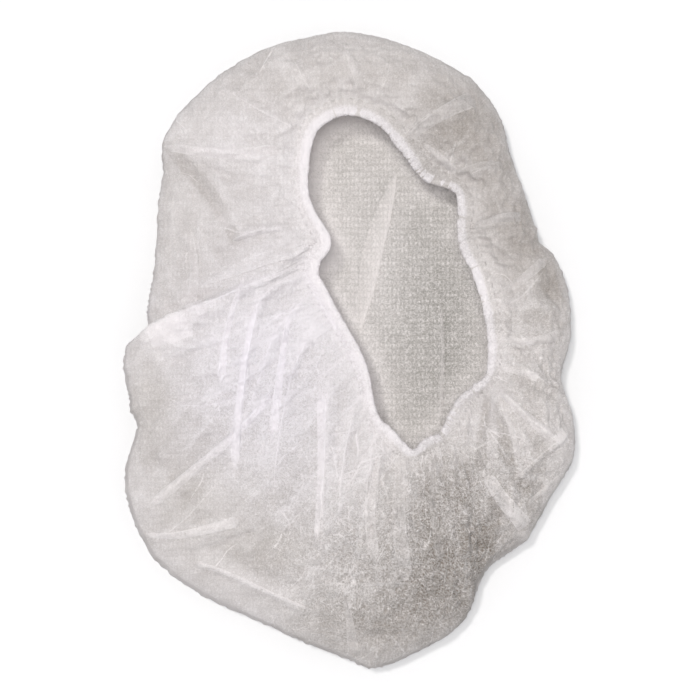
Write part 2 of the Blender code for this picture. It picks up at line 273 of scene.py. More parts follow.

# The same on the floor of the crown, seen through the opening: partly tone, partly painted light where
# the whiter patch towards the top of the opening offsets the hem's shade
FLOOR_PATCHES = (
    (55, 42, 26, 46, -0.20, 0.3),
    (50, -12, 22, 34, -0.10, 0.2),
    (-2, 70, 36, 60, 0.27, 0.0),
    (16, 20, 14, 30, 0.10, 0.1),
)

# Greyer bands where the cloth lies single, in plan and millimetres: half widths at the start and the end
# of the path, and how much whiter (below 0, greyer) the band is.
BAND_COLUMNS = ("path", "start", "end", "white")
BANDS = (
    (((74, -66), (70, -84), (66, -100)), 4.0, 5.0, -0.29),
    (((92, -64), (90, -78), (97, -84)), 5.0, 3.0, -0.30),
    (((78, -60), (84, -66), (88, -70)), 2.0, 3.0, -0.31),
    (((84, -84), (88, -84), (92, -84)), 2.0, 2.0, -0.26),
    (((-92, -62), (-74, -52), (-62, -38)), 5.0, 7.0, -0.13),
    (((68, -21), (66, -40), (64, -60)), 1.8, 3.2, -0.31),
    (((95, 44), (101, 28), (107, 10)), 5.0, 4.0, -0.23),
    (((-87, 97), (-67, 75), (-55, 52)), 4.0, 3.0, -0.16),
    (((36, -52), (38, -78), (44, -98)), 2.4, 4.0, -0.18),
    (((-62, -98), (-44, -106), (-22, -112)), 4.0, 5.0, -0.16),
    (((74, -24), (76, -40), (77, -58)), 2.0, 4.6, -0.30),
    (((90, -40), (93, -50), (92, -62)), 3.4, 5.0, -0.24),
    (((55, -50), (56, -74), (60, -100)), 2.6, 6.0, -0.20),
    (((-92, 104), (-76, 86), (-62, 66)), 3.0, 5.0, -0.16),
    (((-104, -60), (-88, -48), (-74, -30)), 4.0, 6.0, -0.18),
    (((80, -11), (90, -18), (101, -22)), 2.0, 5.0, -0.24),
    (((76, 12), (88, 17), (101, 15)), 2.0, 4.6, -0.20),
)

# Folded plies that lie flat on the upper side with crisp edges, in plan and millimetres: half widths at
# the start and the end of the path, how far the left (above 0) or right edge stands up while the other
# fades into the cloth, how much whiter the ply is and, where it is given, how much wider than its ends it
# is half-way.
PLY_COLUMNS = ("path", "start", "end", "lean", "white", "belly")
PLIES = (
    (((67, -61), (74, -72), (84, -84), (92, -94)), 3.0, 4.4, 0.2, 0.50),
    (((91, -91), (80, -98), (70, -108), (61, -126)), 2.8, 1.4, -0.5, 0.40),
    (((113, -38), (104, -44), (92, -54), (77, -69)), 4.2, 1.2, 0.5, 0.38),
    (((106, -62), (98, -68), (88, -76)), 1.6, 1.0, 0.4, 0.20),
    (((-113, 1), (-96, 7), (-78, 14)), 4.0, 7.0, 0.5, 0.16),
    (((-84, 16), (-60, 26), (-38, 36), (-24, 42)), 5.0, 1.6, 0.7, 0.14),
    (((-103, -92), (-86, -92), (-68, -88), (-54, -84)), 1.2, 3.0, 0.4, 0.34),
    (((-100, -78), (-78, -60), (-57, -42), (-38, -22)), 2.6, 1.6, 0.6, 0.20),
    (((-14, -20), (-14, -50), (-15, -72), (-17, -95)), 2.6, 1.2, 0.4, 0.26),
    (((-46, 22), (-51, 0), (-55, -30), (-57, -58)), 1.4, 2.4, 0.5, 0.26),
    (((-30, 18), (-34, -8), (-38, -42)), 1.2, 2.6, -0.4, 0.16),
    (((28, 104), (40, 113), (50, 119), (62, 125)), 2.0, 4.4, 0.5, 0.26),
    (((52, 87), (64, 91), (76, 91)), 1.2, 2.2, 0.4, 0.16),
    (((36, 102), (44, 96), (53, 87)), 1.2, 2.2, 0.4, 0.20),
    (((72, -19), (84, -30), (96, -40), (107, -47)), 1.2, 3.2, 0.5, 0.24),
    (((74, -24), (79, -38), (83, -52)), 1.0, 1.6, 0.4, 0.20),
    (((72, 26), (84, 34), (97, 45)), 1.6, 2.6, 0.4, 0.18),
    (((73, -8), (88, -12), (105, -18)), 1.2, 3.0, 0.5, 0.24),
    (((-92, 101), (-62, 97), (-34, 99)), 2.0, 3.2, 0.6, 0.12),
    (((-80, 60), (-77, 40), (-79, 18)), 2.0, 2.6, 0.4, 0.10),
    (((-2, -122), (0, -136), (2, -152)), 1.2, 3.0, 0.4, 0.20),
    (((14, -58), (10, -80), (12, -104)), 2.0, 3.0, 0.4, 0.14),
    (((26, -50), (24, -80), (27, -114)), 2.4, 4.4, 0.6, 0.16),
    (((42, -52), (41, -76), (45, -104)), 1.2, 2.4, -0.5, 0.14),
    (((-3, -116), (12, -115), (29, -115)), 0.5, 0.7, 0.3, 0.16),
    (((-52, 36), (-60, 12), (-64, -16)), 1.0, 2.2, -0.5, 0.14),
    (((60, 60), (74, 65), (88, 66)), 1.4, 2.6, 0.4, 0.16),
    (((71, 6), (88, 4), (105, 8)), 1.2, 2.6, 0.4, 0.16),
    (((-58, 54), (-46, 58), (-32, 60)), 0.8, 1.4, 0.4, 0.20),
    (((-78, -105), (-60, -111), (-40, -120), (-16, -130)), 1.6, 0.6, 0.5, 0.26),
)

# Plies pressed into the floor of the crown, seen through the opening
FLOOR_PLIES = (
    (((24, 92), (16, 66), (11, 47), (7.4, 26), (4, 7)), 0.7, 0.7, 0.85, 0.52, 4.4),
    (((46, 24), (47, 0), (46, -38)), 0.7, 1.1, 0.4, 0.16),
)

# Where the cloth crumples most, with the most painted glints and painted crinkle shading in its colour, in
# plan and millimetres
GLITTER_COLUMNS = ("x", "y", "reach", "amount")
GLITTER = (
    (48, -112, 34, 0.80),
    (50, -68, 26, 0.60),
    (2, -120, 30, 0.55),
    (16, -88, 26, 0.35),
    (84, -62, 24, 0.40),
    (92, -22, 20, 0.25),
    (-40, -25, 36, 0.45),
    (-25, -80, 26, 0.25),
    (35, 95, 16, 0.25),
    (86, 10, 22, 0.25),
)

# Creases pressed into the floor of the crown, seen through the opening
FLOOR_CREASES = (
    (((25, 90), (22, 70), (19, 50), (14, 32), (9, 15), (5, 4)), 8.0, 0.9, -0.85, 0.5),
    (((2, 55), (4, 30), (3, 8)), 4.0, 1.0, 0.2, 0.6),
    (((44, 26), (46, 0), (46, -40)), 2.5, 1.2, 0.3, 0.5),
    (((4, 3), (10, -8), (13, -20)), 2.5, 1.0, 0.5, 0.5),
    (((54, 12), (55, -4), (53, -26)), 4.0, -1.2, 0.0, 0.0),
    (((-20, 100), (0, 86), (24, 96)), 3.0, 0.6, 0.3, 0.2),
    (((30, 84), (44, 62), (54, 50)), 3.0, 0.7, -0.3, 0.2),
)

COOL_WHITE = (0.95, 0.915, 0.955, 1.0)
NEUTRAL_WHITE = (0.93, 0.893, 0.882, 1.0)
WARM_GREY = (0.218, 0.180, 0.142, 1.0)
FLOOR_GREY = (0.195, 0.190, 0.154, 1.0)
ELASTIC_SHADE = (0.78, 0.76, 0.72, 1.0)
ELASTIC_WHITE = (0.90, 0.89, 0.86, 1.0)
random = np.random.default_rng(21)


def rows_of(columns, table):
    """The rows of a table as dictionaries, keyed by the names of its columns."""
    return [dict(zip(columns, row)) for row in table]


sections = {name: np.array(column) for name, column in zip(SECTION_COLUMNS, zip(*SECTIONS))}
section_count = len(SECTIONS)


def between(a, b, c, d, t):
    """A share t of the way from b to c, on a smooth curve through a, b, c and d."""
    return b + ((c - a) + (2 * a - 5 * b + 4 * c - d + (3 * (b - c) + d - a) * t) * t) * (t / 2)


def spline(values, place):
    """A smooth closed curve through values, read at places that count from 0."""
    first = np.floor(place).astype(int)
    return between(*(values[(first + step) % len(values)] for step in (-1, 0, 1, 2)), place - first)


def open_spline(rings, place):
    """Rings read at places between them along a smooth curve that ends at the first and last ring."""
    first = np.clip(np.floor(place).astype(int), 0, len(rings) - 2)
    index = [np.clip(first + step, 0, len(rings) - 1) for step in (-1, 0, 1, 2)]
    return between(*(rings[i] for i in index), (place - first)[:, None, None])


def smooth(t):
    """0 below 0, 1 above 1, and smooth between."""
    t = np.clip(t, 0, 1)
    return t * t * (3 - 2 * t)


def unit(vectors):
    """Vectors scaled to length 1."""
    return vectors / np.maximum(np.linalg.norm(vectors, axis=-1, keepdims=True), 1e-12)


def edge_points(place):
    """The outline in plan, at places that count sections."""
    x = spline(sections["edge_x"], place) * cap_width / 2
    y = spline(sections["edge_y"], place) * cap_length / 2
    points = np.stack((x, y, np.zeros_like(x)), -1)
    outward = unit(points)
    for pull in rows_of(PULL_COLUMNS, OUTLINE_PULLS):
        off = (place - pull["place"] + section_count / 2) % section_count - section_count / 2
        near = np.clip(1 - np.abs(off) / pull["reach"], 0, 1)
        points = points + outward * (near * pull["out"] * MILLIMETRE)[:, None]
    return points


def rim_points(place):
    """The middle of the hem."""
    x = opening_middle.x + spline(sections["rim_x"], place) * opening_width / 2
    y = opening_middle.y + spline(sections["rim_y"], place) * opening_length / 2
    z = rim_height + spline(sections["wave"], place) * rim_wave
    return np.stack((x, y, z), -1)


def rim_frames(place):
    """The hem's middle, the way out of its mouth to the crown, and the way up from that."""
    step = 0.25
    along = unit(rim_points(place + step) - rim_points(place - step))
    level = unit(np.stack((along[:, 1], -along[:, 0], np.zeros(len(place))), -1))
    mouth = level * math.cos(rim_slope) + np.array((0, 0, math.sin(rim_slope)))
    mouth = unit(mouth - along * (mouth * along).sum(-1, keepdims=True))
    up = unit(np.cross(along, mouth))
    up = up * np.where(up[:, 2:] < 0, -1, 1)
    return rim_points(place), mouth, up


def new_piece(name, vertices, faces):
    """A smooth piece of the scene."""
    mesh = bpy.data.meshes.new(name)
    mesh.from_pydata(vertices, [], faces)
    mesh.update()
    mesh.shade_smooth()
    piece = bpy.data.objects.new(name, mesh)
    bpy.context.scene.collection.objects.link(piece)
    return piece


def add_readings(piece, lay, side, **numbers):
    """What the material reads at each point of a piece: two flat places in metres, and numbers by name."""
    for name, places in (("lay", lay), ("side", side)):
        full = np.concatenate((places, np.zeros((len(places), 1))), 1).astype(np.float32)
        made = piece.data.attributes.new(name, "FLOAT_VECTOR", "POINT")
        made.data.foreach_set("vector", full.reshape(-1))
    for name, values in numbers.items():
        flat = np.asarray(values, np.float32).reshape(-1)
        made = piece.data.attributes.new(name, "FLOAT", "POINT")
        made.data.foreach_set("value", np.broadcast_to(flat, len(lay)).copy())


def grid_piece(name, points, close_rows=False, centre=None):
    """A piece through rows of points, closed along each row. centre fills the first row."""
    rows, columns = points.shape[:2]
    grid = np.arange(rows * columns).reshape(rows, columns)
    if close_rows:
        grid = np.vstack((grid, grid[:1]))
    here, there = grid[:-1], grid[1:]
    quads = np.stack((here, np.roll(here, -1, 1), np.roll(there, -1, 1), there), -1).reshape(-1, 4)
    faces = quads.tolist()
    vertices = points.reshape(-1, 3)
    if centre is not None:
        vertices = np.vstack((vertices, [centre]))
        hub = len(vertices) - 1
        faces += [(hub, int(b), int(a)) for a, b in zip(grid[0], np.roll(grid[0], -1))]
    return new_piece(name, vertices.tolist(), faces)


def grid_normals(points):
    """The way out of a grid of points that is closed along its columns."""
    across = np.roll(points, -1, 1) - np.roll(points, 1, 1)
    down = np.gradient(points, axis=0)
    return unit(np.cross(across, down))


def path_distance(plan, path):
    """Signed distance of places from a path, positive to its left, and the share of the way along it."""
    path = np.array(path, float) * MILLIMETRE
    lengths = np.linalg.norm(np.diff(path, axis=0), axis=1)
    starts = np.concatenate(([0], np.cumsum(lengths)))
    best = np.full(plan.shape[:-1], np.inf)
    signed = np.zeros_like(best)
    share = np.zeros_like(best)
    for a, b, length, start in zip(path, path[1:], lengths, starts):
        way = (b - a) / length
        off = plan - a
        t = np.clip(off @ way, 0, length)
        gap = off - t[..., None] * way
        distance = np.linalg.norm(gap, axis=-1)
        side = np.sign(way[0] * off[..., 1] - way[1] * off[..., 0])
        nearer = distance < best
        best = np.where(nearer, distance, best)
        signed = np.where(nearer, distance * side, signed)
        share = np.where(nearer, (start + t) / starts[-1], share)
    return signed, share


def add_creases(plan, table, height, white):
    """Adds the rise and the paling of each crease of a table to height and white."""
    for crease in rows_of(CREASE_COLUMNS, table):
        signed, share = path_distance(plan, crease["path"])
        width = crease["half_width"] * MILLIMETRE * (1 + crease["lean"] * 0.75 * np.where(signed > 0, -1, 1))
        near = np.clip(1 - np.abs(signed) / width, 0, 1)
        taper = smooth(share / 0.22) * smooth((1 - share) / 0.22)
        height += crease["rise"] * MILLIMETRE * near ** 1.25 * taper
        white += crease["white"] * taper * near * 0.22


def add_bands(plan, table, white):
    """Adds bands that are whiter or greyer than the cloth beside them."""
    for band in rows_of(BAND_COLUMNS, table):
        signed, share = path_distance(plan, band["path"])
        half = (band["start"] + (band["end"] - band["start"]) * share) * MILLIMETRE
        inside = np.clip((half - np.abs(signed)) / 0.0009 + 0.5, 0, 1)
        ends = smooth(share / 0.05) * smooth((1 - share) / 0.05)
        white += band["white"] * inside * ends


def outward(x, y):
    """The way out from the middle of the opening, at a place in plan in millimetres."""
    return math.atan2(y - opening_middle.y / MILLIMETRE, x - opening_middle.x / MILLIMETRE)


def random_creases(count, low, high, heading, length, half_width, rise):
    """A table of small creases at random places, each turned about the heading at its place."""
    table = []
    for _ in range(count):
        x, y = random.uniform(low, high)
        turn = heading(x, y) + random.normal(0, 0.55)
        half = random.uniform(*length) / 2
        bend = random.normal(0, 0.16)
        middle = np.array((x, y))
        way = np.array((math.cos(turn), math.sin(turn)))
        aside = np.array((-way[1], way[0]))
        path = (middle - way * half, middle + aside * half * bend, middle + way * half)
        width = random.uniform(*half_width)
        size = random.uniform(*rise) * random.choice((-0.7, 1))
        table.append((path, width, size, random.uniform(-0.9, 0.9), max(0, size) * random.uniform(0, 0.5)))
    return table


def lattice_noise(places, size):
    """Smooth noise between -1 and 1 at places, with features of a size."""
    flat = (places / size).reshape(-1, places.shape[-1])
    return np.array([noise.noise(Vector(p)) for p in flat.tolist()]).reshape(places.shape[:-1])


def facets(places, size, tilt):
    """The height and tone of tilted facets round scattered points, with sharp creases between them."""
    flat = (places / size).reshape(-1, places.shape[-1])
    found = [noise.voronoi(Vector(p)) for p in flat.tolist()]
    distance = np.array([near[0] for near, _ in found])
    heart = np.array([tuple(hearts[0]) for _, hearts in found])
    draw = np.modf(np.abs(np.sin(heart @ np.array((12.9898, 78.233, 37.719))) * 43758.5453))[0]
    turn = draw * 97.0
    lean = (flat[:, 0] - heart[:, 0]) * np.cos(turn) + (flat[:, 1] - heart[:, 1]) * np.sin(turn)
    height = distance - 0.45 + lean * tilt
    return height.reshape(places.shape[:-1]), draw.reshape(places.shape[:-1]) - 0.5


def crown_rings(place):
    """The main form of the crown, ring by ring, from the middle of its floor to the edge inside the hem."""
    middle = np.array((*crown_middle, 0.0))
    outline = edge_points(place)
    rings = []
    for ring in rows_of(UNDER_COLUMNS, UNDER_RINGS):
        lift = np.array((0, 0, ring["height"] * edge_height + CROWN_WALL / 2))
        rings.append(middle + (outline - middle) * ring["out"] + lift)
    rim, mouth, _ = rim_frames(place)
    seam = rim + mouth * (SEAM_INSET + SEAM_MARGIN)
    for ring in rows_of(OVER_COLUMNS, OVER_RINGS):
        points = outline + (seam - outline) * ring["inward"]
        climb = (seam[:, 2] - edge_height) * ring["climb"]
        points[:, 2] = edge_height + climb + crest_rise * ring["crest"]
        rings.append(points)
    rings.append(rim + mouth * SEAM_INSET)
    return np.array(rings)


def even_rows(rings, rows):
    """Places between rings that share out the rows by the mean length of the cloth between them."""
    gaps = np.linalg.norm(np.diff(rings, axis=0), axis=2).mean(1)
    weight = np.where(np.arange(len(gaps)) < len(UNDER_RINGS) - 5, 0.55, 1.0)
    travel = np.concatenate(([0], np.cumsum(gaps * weight)))
    return np.interp(np.linspace(0, travel[-1], rows), travel, np.arange(len(rings)))


def add_gathers(place, drift, from_rim, top, height, white):
    """Adds the gathers that run out from the hem and die away one after another."""
    wave = np.cos(TURN * (place[None, :] * GATHERS_PER_SECTION + 0.7 * drift[None, :]))
    fine = 0.0006 * np.exp(-from_rim / 0.006) * smooth(from_rim / 0.003)
    height += wave * fine * top
    for _ in range(GATHER_COUNT):
        middle = random.uniform(0, section_count)
        width = random.uniform(0.12, 0.42)
        length = random.uniform(0.012, 0.075)
        rise = random.uniform(0.2, 0.7) * MILLIMETRE * random.choice((-0.5, 1))
        lean = random.uniform(-0.7, 0.7)
        wander = random.normal(0, 6.0)
        off = place[None, :] - middle - wander * from_rim
        off = (off + section_count / 2) % section_count - section_count / 2
        spread = width * (1 + from_rim / 0.05) * (1 + lean * np.sign(off))
        near = np.clip(1 - np.abs(off) / spread, 0, 1)
        fade = smooth(1 - from_rim / length) * smooth(from_rim / 0.004)
        height += rise * near ** 1.2 * fade * top
        white += max(0, rise) / MILLIMETRE * 0.18 * near ** 2 * fade * top


def painted_light_against_hem_shade(plan, floor, place):
    """Painted light that makes the floor paler where the hem shades it, from all round and from the side
    light.
    """
    hem_line = KDTree(len(place))
    for i, point in enumerate(rim_points(place).tolist()):
        hem_line.insert((point[0], point[1], 0), i)
    hem_line.balance()
    turn = math.radians(SIDE_LIGHT_TURN)
    to_light = np.array((math.cos(turn), math.sin(turn)))
    reach = rim_height * math.tan(math.radians(SIDE_LIGHT_TILT)) + 0.005
    painted_light = np.zeros(floor.shape)
    for row in range(int((floor[:, 0] != 0).sum())):
        found = [hem_line.find((x, y, 0)) for x, y in plan[row].tolist()]
        off = np.array([near[2] for near in found])
        facing = np.clip(unit(np.array([near[0][:2] for near in found]) - plan[row]) @ to_light, 0, 1)
        painted_light[row] = 0.42 * np.exp(-((off / 0.010) ** 2)) + 0.80 * facing * np.clip(1 - off / reach, 0, 1)
    return painted_light


def crown_cloth():
    """The sheet, with its gathers, folds and creases, and what its material reads from it."""
    columns = section_count * COLUMNS_PER_SECTION
    place = np.arange(columns) / COLUMNS_PER_SECTION
    rings = crown_rings(place)
    row_place = even_rows(rings, CROWN_ROWS)
    points = open_spline(rings, row_place)
    normals = grid_normals(points)
    outline_ring = len(UNDER_RINGS) - 1
    seam_ring = len(rings) - 2
    top = smooth((row_place - outline_ring + 0.6) / 1.2)[:, None] * np.ones(columns)
    floor = smooth((4.6 - row_place) / 0.6)[:, None] * np.ones(columns)
    wall = np.clip(1 - top - floor, 0, 1)
    steps = np.linalg.norm(np.diff(points, axis=0), axis=2)
    travel = np.vstack((np.zeros(columns), np.cumsum(steps, 0)))
    seam_row = int(np.searchsorted(row_place, seam_ring))
    from_rim = np.maximum(travel[seam_row] - travel, 0)
    plan = points[..., :2]
    white = np.zeros(points.shape[:2])
    height = np.zeros(points.shape[:2])

    # Creases of the upper side
    top_height = np.zeros_like(height)
    top_white = np.zeros_like(height)
    add_creases(plan, CREASES, top_height, top_white)
    add_bands(plan, BANDS, top_white)
    small = random_creases(CREASE_COUNT, (-112, -156), (112, 156), outward, (14, 55), (1.6, 4.5), (0.3, 1.2))
    add_creases(plan, small, top_height, top_white)
    settle = smooth(from_rim / 0.008)
    height += top_height * top * settle
    white += top_white * top

    angle = place * TURN / section_count
    ring = np.stack((np.cos(angle), np.sin(angle), np.zeros(columns)), -1)
    drift = lattice_noise(ring, 0.06)
    add_gathers(place, drift, from_rim, top, height, white)

    # Crumple of the whole sheet: facets drawn out along the meridians, and smaller dents
    ring_radius = 0.125
    round_about = ring[None, :, :2] * ring_radius * np.ones((CROWN_ROWS, 1, 1))
    scroll = np.concatenate((round_about, travel[..., None] * 0.35), -1)
    loose = top * settle + wall
    at_edge = np.exp(-(((row_place - outline_ring) / 1.7) ** 2))[:, None]
    glitter = np.full(points.shape[:2], 0.30)
    for patch in rows_of(GLITTER_COLUMNS, GLITTER):
        away = np.hypot(plan[..., 0] - patch["x"] * MILLIMETRE, plan[..., 1] - patch["y"] * MILLIMETRE)
        glitter += patch["amount"] * np.exp(-((away / (patch["reach"] * MILLIMETRE)) ** 2)) * top
    rough = 0.55 + 0.45 * np.clip(glitter - 0.30, 0, 1) * top
    calm = loose * (1 - 0.92 * at_edge) * rough * (1 - 0.6 * wall)
    low_wall = smooth((outline_ring - 1.0 - row_place) / 1.4)[:, None] * wall
    broad, broad_tone = facets(scroll, 0.021, 0.40)
    middling, middling_tone = facets(points + 0.3, 0.0095, 0.45)
    small_facets, small_tone = facets(points + 0.7, 0.0042, 0.30)
    height += (broad * 0.0040 + middling * 0.0028 + small_facets * 0.0036) * calm
    height += lattice_noise(points, 0.030) * 0.0036 * calm
    pleats = np.cos(TURN * (place * 2.6 + drift * 4.5)) * (0.75 + 0.8 * np.roll(drift, 40))
    edge_band = np.exp(-(((row_place - outline_ring + 0.7) / 0.9) ** 2))[:, None]
    height += pleats[None, :] * (0.0032 * low_wall + 0.0006 * edge_band)
    # Painted light: a whiter band just under the outline against the shade there, lighter on the pleats'
    # crests
    white += (0.26 + 0.10 * pleats[None, :]) * edge_band
    # Painted light and shade: whiter on the raised facets, greyer in the dents between them
    white += (np.clip(broad, -0.2, 0.5) * 0.20 + np.clip(middling, -0.2, 0.5) * 0.20) * loose
    white += (broad_tone * 0.14 + middling_tone * 0.10 + small_tone * 0.10) * loose
    # Painted shade: a little greyer along the outline, where the sheet turns down
    white -= 0.05 * at_edge

    # The floor's creases only rise, because it lies flat
    floor_height = np.zeros_like(height)
    floor_white = np.zeros_like(height)
    add_creases(plan, FLOOR_CREASES, floor_height, floor_white)
    few = random_creases(FLOOR_CREASE_COUNT, (-90, -120), (90, 130), lambda x, y: 1.5, (14, 50), (1.5, 4.0),
                         (0.1, 0.5))
    add_creases(plan, few, floor_height, floor_white)
    white += floor_white * floor
    points = points + normals * height[..., None]
    points[..., 2] += np.maximum(floor_height, 0) * floor
    points[..., 2] = np.maximum(points[..., 2], FLOOR_GAP)

    # The raw edge ripples inside the hem
    _, mouth, up = rim_frames(place)
    edge_wave = TURN * (place * GATHERS_PER_SECTION)
    inside = smooth((row_place - seam_ring + 0.4) / 1.0)[:, None, None]
    ripple = np.cos(edge_wave)[:, None] * up * 0.00055 + np.sin(edge_wave)[:, None] * mouth * 0.0004
    points = points + inside * ripple

    layers = np.full(points.shape[:2], 0.43) + white
    warmth = np.full(points.shape[:2], 0.25)
    # Patches: partly layers of cloth, partly painted light on the left and painted shade on the right and
    # foot
    for table, part in ((PATCHES, top), (FLOOR_PATCHES, floor)):
        for patch in rows_of(PATCH_COLUMNS, table):
            dx = (plan[..., 0] / MILLIMETRE - patch["x"]) / patch["reach_x"]
            dy = (plan[..., 1] / MILLIMETRE - patch["y"]) / patch["reach_y"]
            weight = np.exp(-(dx * dx + dy * dy)) * part
            layers += patch["layers"] * weight
            warmth += patch["warmth"] * weight
    hem_white = spline(sections["white"], place)
    layers += 0.38 * np.clip((hem_white - 0.70) / 0.35, 0, 1) * np.exp(-from_rim / 0.007) * top
    # Painted light on the floor, offsetting the hem's shade
    layers += painted_light_against_hem_shade(plan, floor, place) * floor
    layers -= 0.20 * floor
    warmth += 0.15 * floor
    # More crumple, and more painted glints and painted crinkle shading, on the floor seen through the opening
    glint = np.exp(-(((plan[..., 0] - 0.045) / 0.032) ** 2) - ((plan[..., 1] - 0.010) / 0.062) ** 2)
    glitter += (0.26 + 0.34 * glint) * floor
    centre = (*crown_middle, CROWN_WALL / 2)
    piece = grid_piece("crown_cloth", points, centre=centre)
    along = np.linalg.norm(np.roll(edge_points(place), -1, 0) - edge_points(place), axis=1).cumsum()
    lay = np.concatenate((plan.reshape(-1, 2), [crown_middle]))
    side = np.stack((np.broadcast_to(along, travel.shape), travel), -1).reshape(-1, 2)
    side = np.concatenate((side, [(0, 0)]))
    numbers = {"layers": layers, "warmth": warmth, "wall": wall, "glitter": glitter, "bare": floor}
    with_middle = {name: np.append(values, values[0].mean()) for name, values in numbers.items()}
    add_readings(piece, lay, side, **with_middle)
    return piece, [values[seam_row - 2] for values in (layers, warmth, glitter)]


def hem_rows(inward, half_width, rise, lip_under):
    """How far towards the crown and above the sheet the hem lies, and its share of the gathers."""
    turns = [math.radians(62 + 236 * i / 12) for i in range(13)]
    loop = [(half_width * math.cos(turn) - inward, rise * math.sin(turn), 1.0) for turn in turns]
    start_across, start_above, _ = loop[0]
    above = []
    for share, ripple in ((1.0, 0.0), (0.72, 0.25), (0.42, 0.6)):
        across = start_across + (LIP_REACH - start_across) * share
        height = (start_above + lip_under) * (1 - share) ** 1.6 - lip_under
        above.append((across, height, ripple))
    lowest = 2 * LIP_UNDER + lip_under
    below = [(across, -max(height, lowest), ripple) for across, height, ripple in reversed(above)]
    return above + loop + below


def gathered_hem(beside):
    """The edge of the sheet folded over the elastic, in fine uneven gathers, open towards the crown."""
    columns = section_count * HEM_COLUMNS_PER_SECTION
    place = np.arange(columns) / HEM_COLUMNS_PER_SECTION
    rim, mouth, up = rim_frames(place)
    angle = place * TURN / section_count
    ring = np.stack((np.cos(angle), np.sin(angle), np.zeros(columns)), -1)
    inward = spline(sections["inward"], place) * MILLIMETRE
    half_width = spline(sections["half_width"], place) * MILLIMETRE
    ridge_white = spline(sections["white"], place)
    uneven = np.clip((1.15 - ridge_white) / 0.35, 0.12, 1)
    phase = place * HEM_GATHERS_PER_SECTION + lattice_noise(ring, 0.03) * 0.9
    strength = (0.8 + 0.9 * lattice_noise(ring + 5, 0.05)) * uneven
    swell = 0.24 * lattice_noise(ring + 9, 0.09) + 0.24 * lattice_noise(ring + 3, 0.035)
    swell = (swell + 0.16 * lattice_noise(ring + 7, 0.014)) * (0.35 + 0.65 * uneven)
    gathers = 0.5 + 0.5 * np.cos(TURN * phase)
    rows = []
    fullness = []
    for across, above, ripple in hem_rows(inward, half_width, HEM_RISE, LIP_UNDER):
        ridge = 0.5 + 0.5 * np.cos(TURN * (phase + 0.10 * above / HEM_RISE))
        grown = 1 + (swell + (ridge - 0.5) * 0.05 * strength) * ripple
        out = (across + inward) * grown - inward
        rows.append(rim + mouth * out[:, None] + up * (above * grown)[:, None])
        fullness.append(np.where(across + inward > 0, np.clip(above / HEM_RISE, 0, 1), 1.0))
    inner_rows = hem_rows(inward, half_width - HEM_CLOTH, HEM_RISE - HEM_CLOTH, LIP_UNDER + HEM_CLOTH)
    for across, above, _ in reversed(inner_rows):
        rows.append(rim + mouth * across[:, None] + up * above)
        fullness.append(np.zeros(columns))
    points = np.array(rows)
    fullness = np.array(fullness)
    piece = grid_piece("gathered_hem", points, close_rows=True)
    around = np.arange(section_count * COLUMNS_PER_SECTION + 1) / COLUMNS_PER_SECTION
    layers, warmth, glitter = (np.interp(place, around, np.append(values, values[0])) for values in beside)
    ridge_share = smooth((fullness - 0.3) / 0.6)
    # Painted highlight: the hem's ridge is a little whiter on the crests of its gathers
    layers = layers + (ridge_white - layers) * ridge_share + 0.05 * (gathers - 0.5) * uneven * ridge_share
    layers += (0.06 + 0.10 * uneven) * lattice_noise(points, 0.005)
    warmth = warmth + (0.05 - warmth) * ridge_share
    glitter = glitter + 0.25 * uneven * ridge_share
    plan = points[..., :2].reshape(-1, 2)
    add_readings(piece, plan, plan, layers=layers, warmth=warmth, glitter=glitter, bare=0.0, wall=0.0)
    return piece


def smooth_route(path):
    """Places every PLY_STEP along a smooth curve through a path, in metres, and the way along it."""
    path = np.array(path, float) * MILLIMETRE
    fine = open_spline(path[:, None, :], np.linspace(0, len(path) - 1, 40 * len(path)))[:, 0]
    travel = np.concatenate(([0], np.cumsum(np.linalg.norm(np.diff(fine, axis=0), axis=1))))
    count = max(4, round(travel[-1] / PLY_STEP))
    at = np.linspace(0, travel[-1], count + 1)
    route = np.stack([np.interp(at, travel, fine[:, axis]) for axis in (0, 1)], -1)
    return route, unit(np.gradient(route, axis=0))


class ClothReader:
    """Reads where the cloth lies under a place in plan, and its tones there."""

    def __init__(self, piece):
        mesh = piece.data
        self.corners = [tuple(face.vertices) for face in mesh.polygons]
        self.tree = BVHTree.FromPolygons([point.co for point in mesh.vertices], self.corners)
        self.tones = {name: [item.value for item in mesh.attributes[name].data] for name in CLOTH_TONES}

    def below(self, x, y, height):
        """The cloth's height and its tones, or None where there is none or it stands steep."""
        hit, normal, face, _ = self.tree.ray_cast(Vector((x, y, height)), Vector((0, 0, -1)))
        if hit is None or abs(normal.z) < 0.2:
            return None
        corners = self.corners[face]
        return hit.z, [sum(values[i] for i in corners) / len(corners) for values in self.tones.values()]


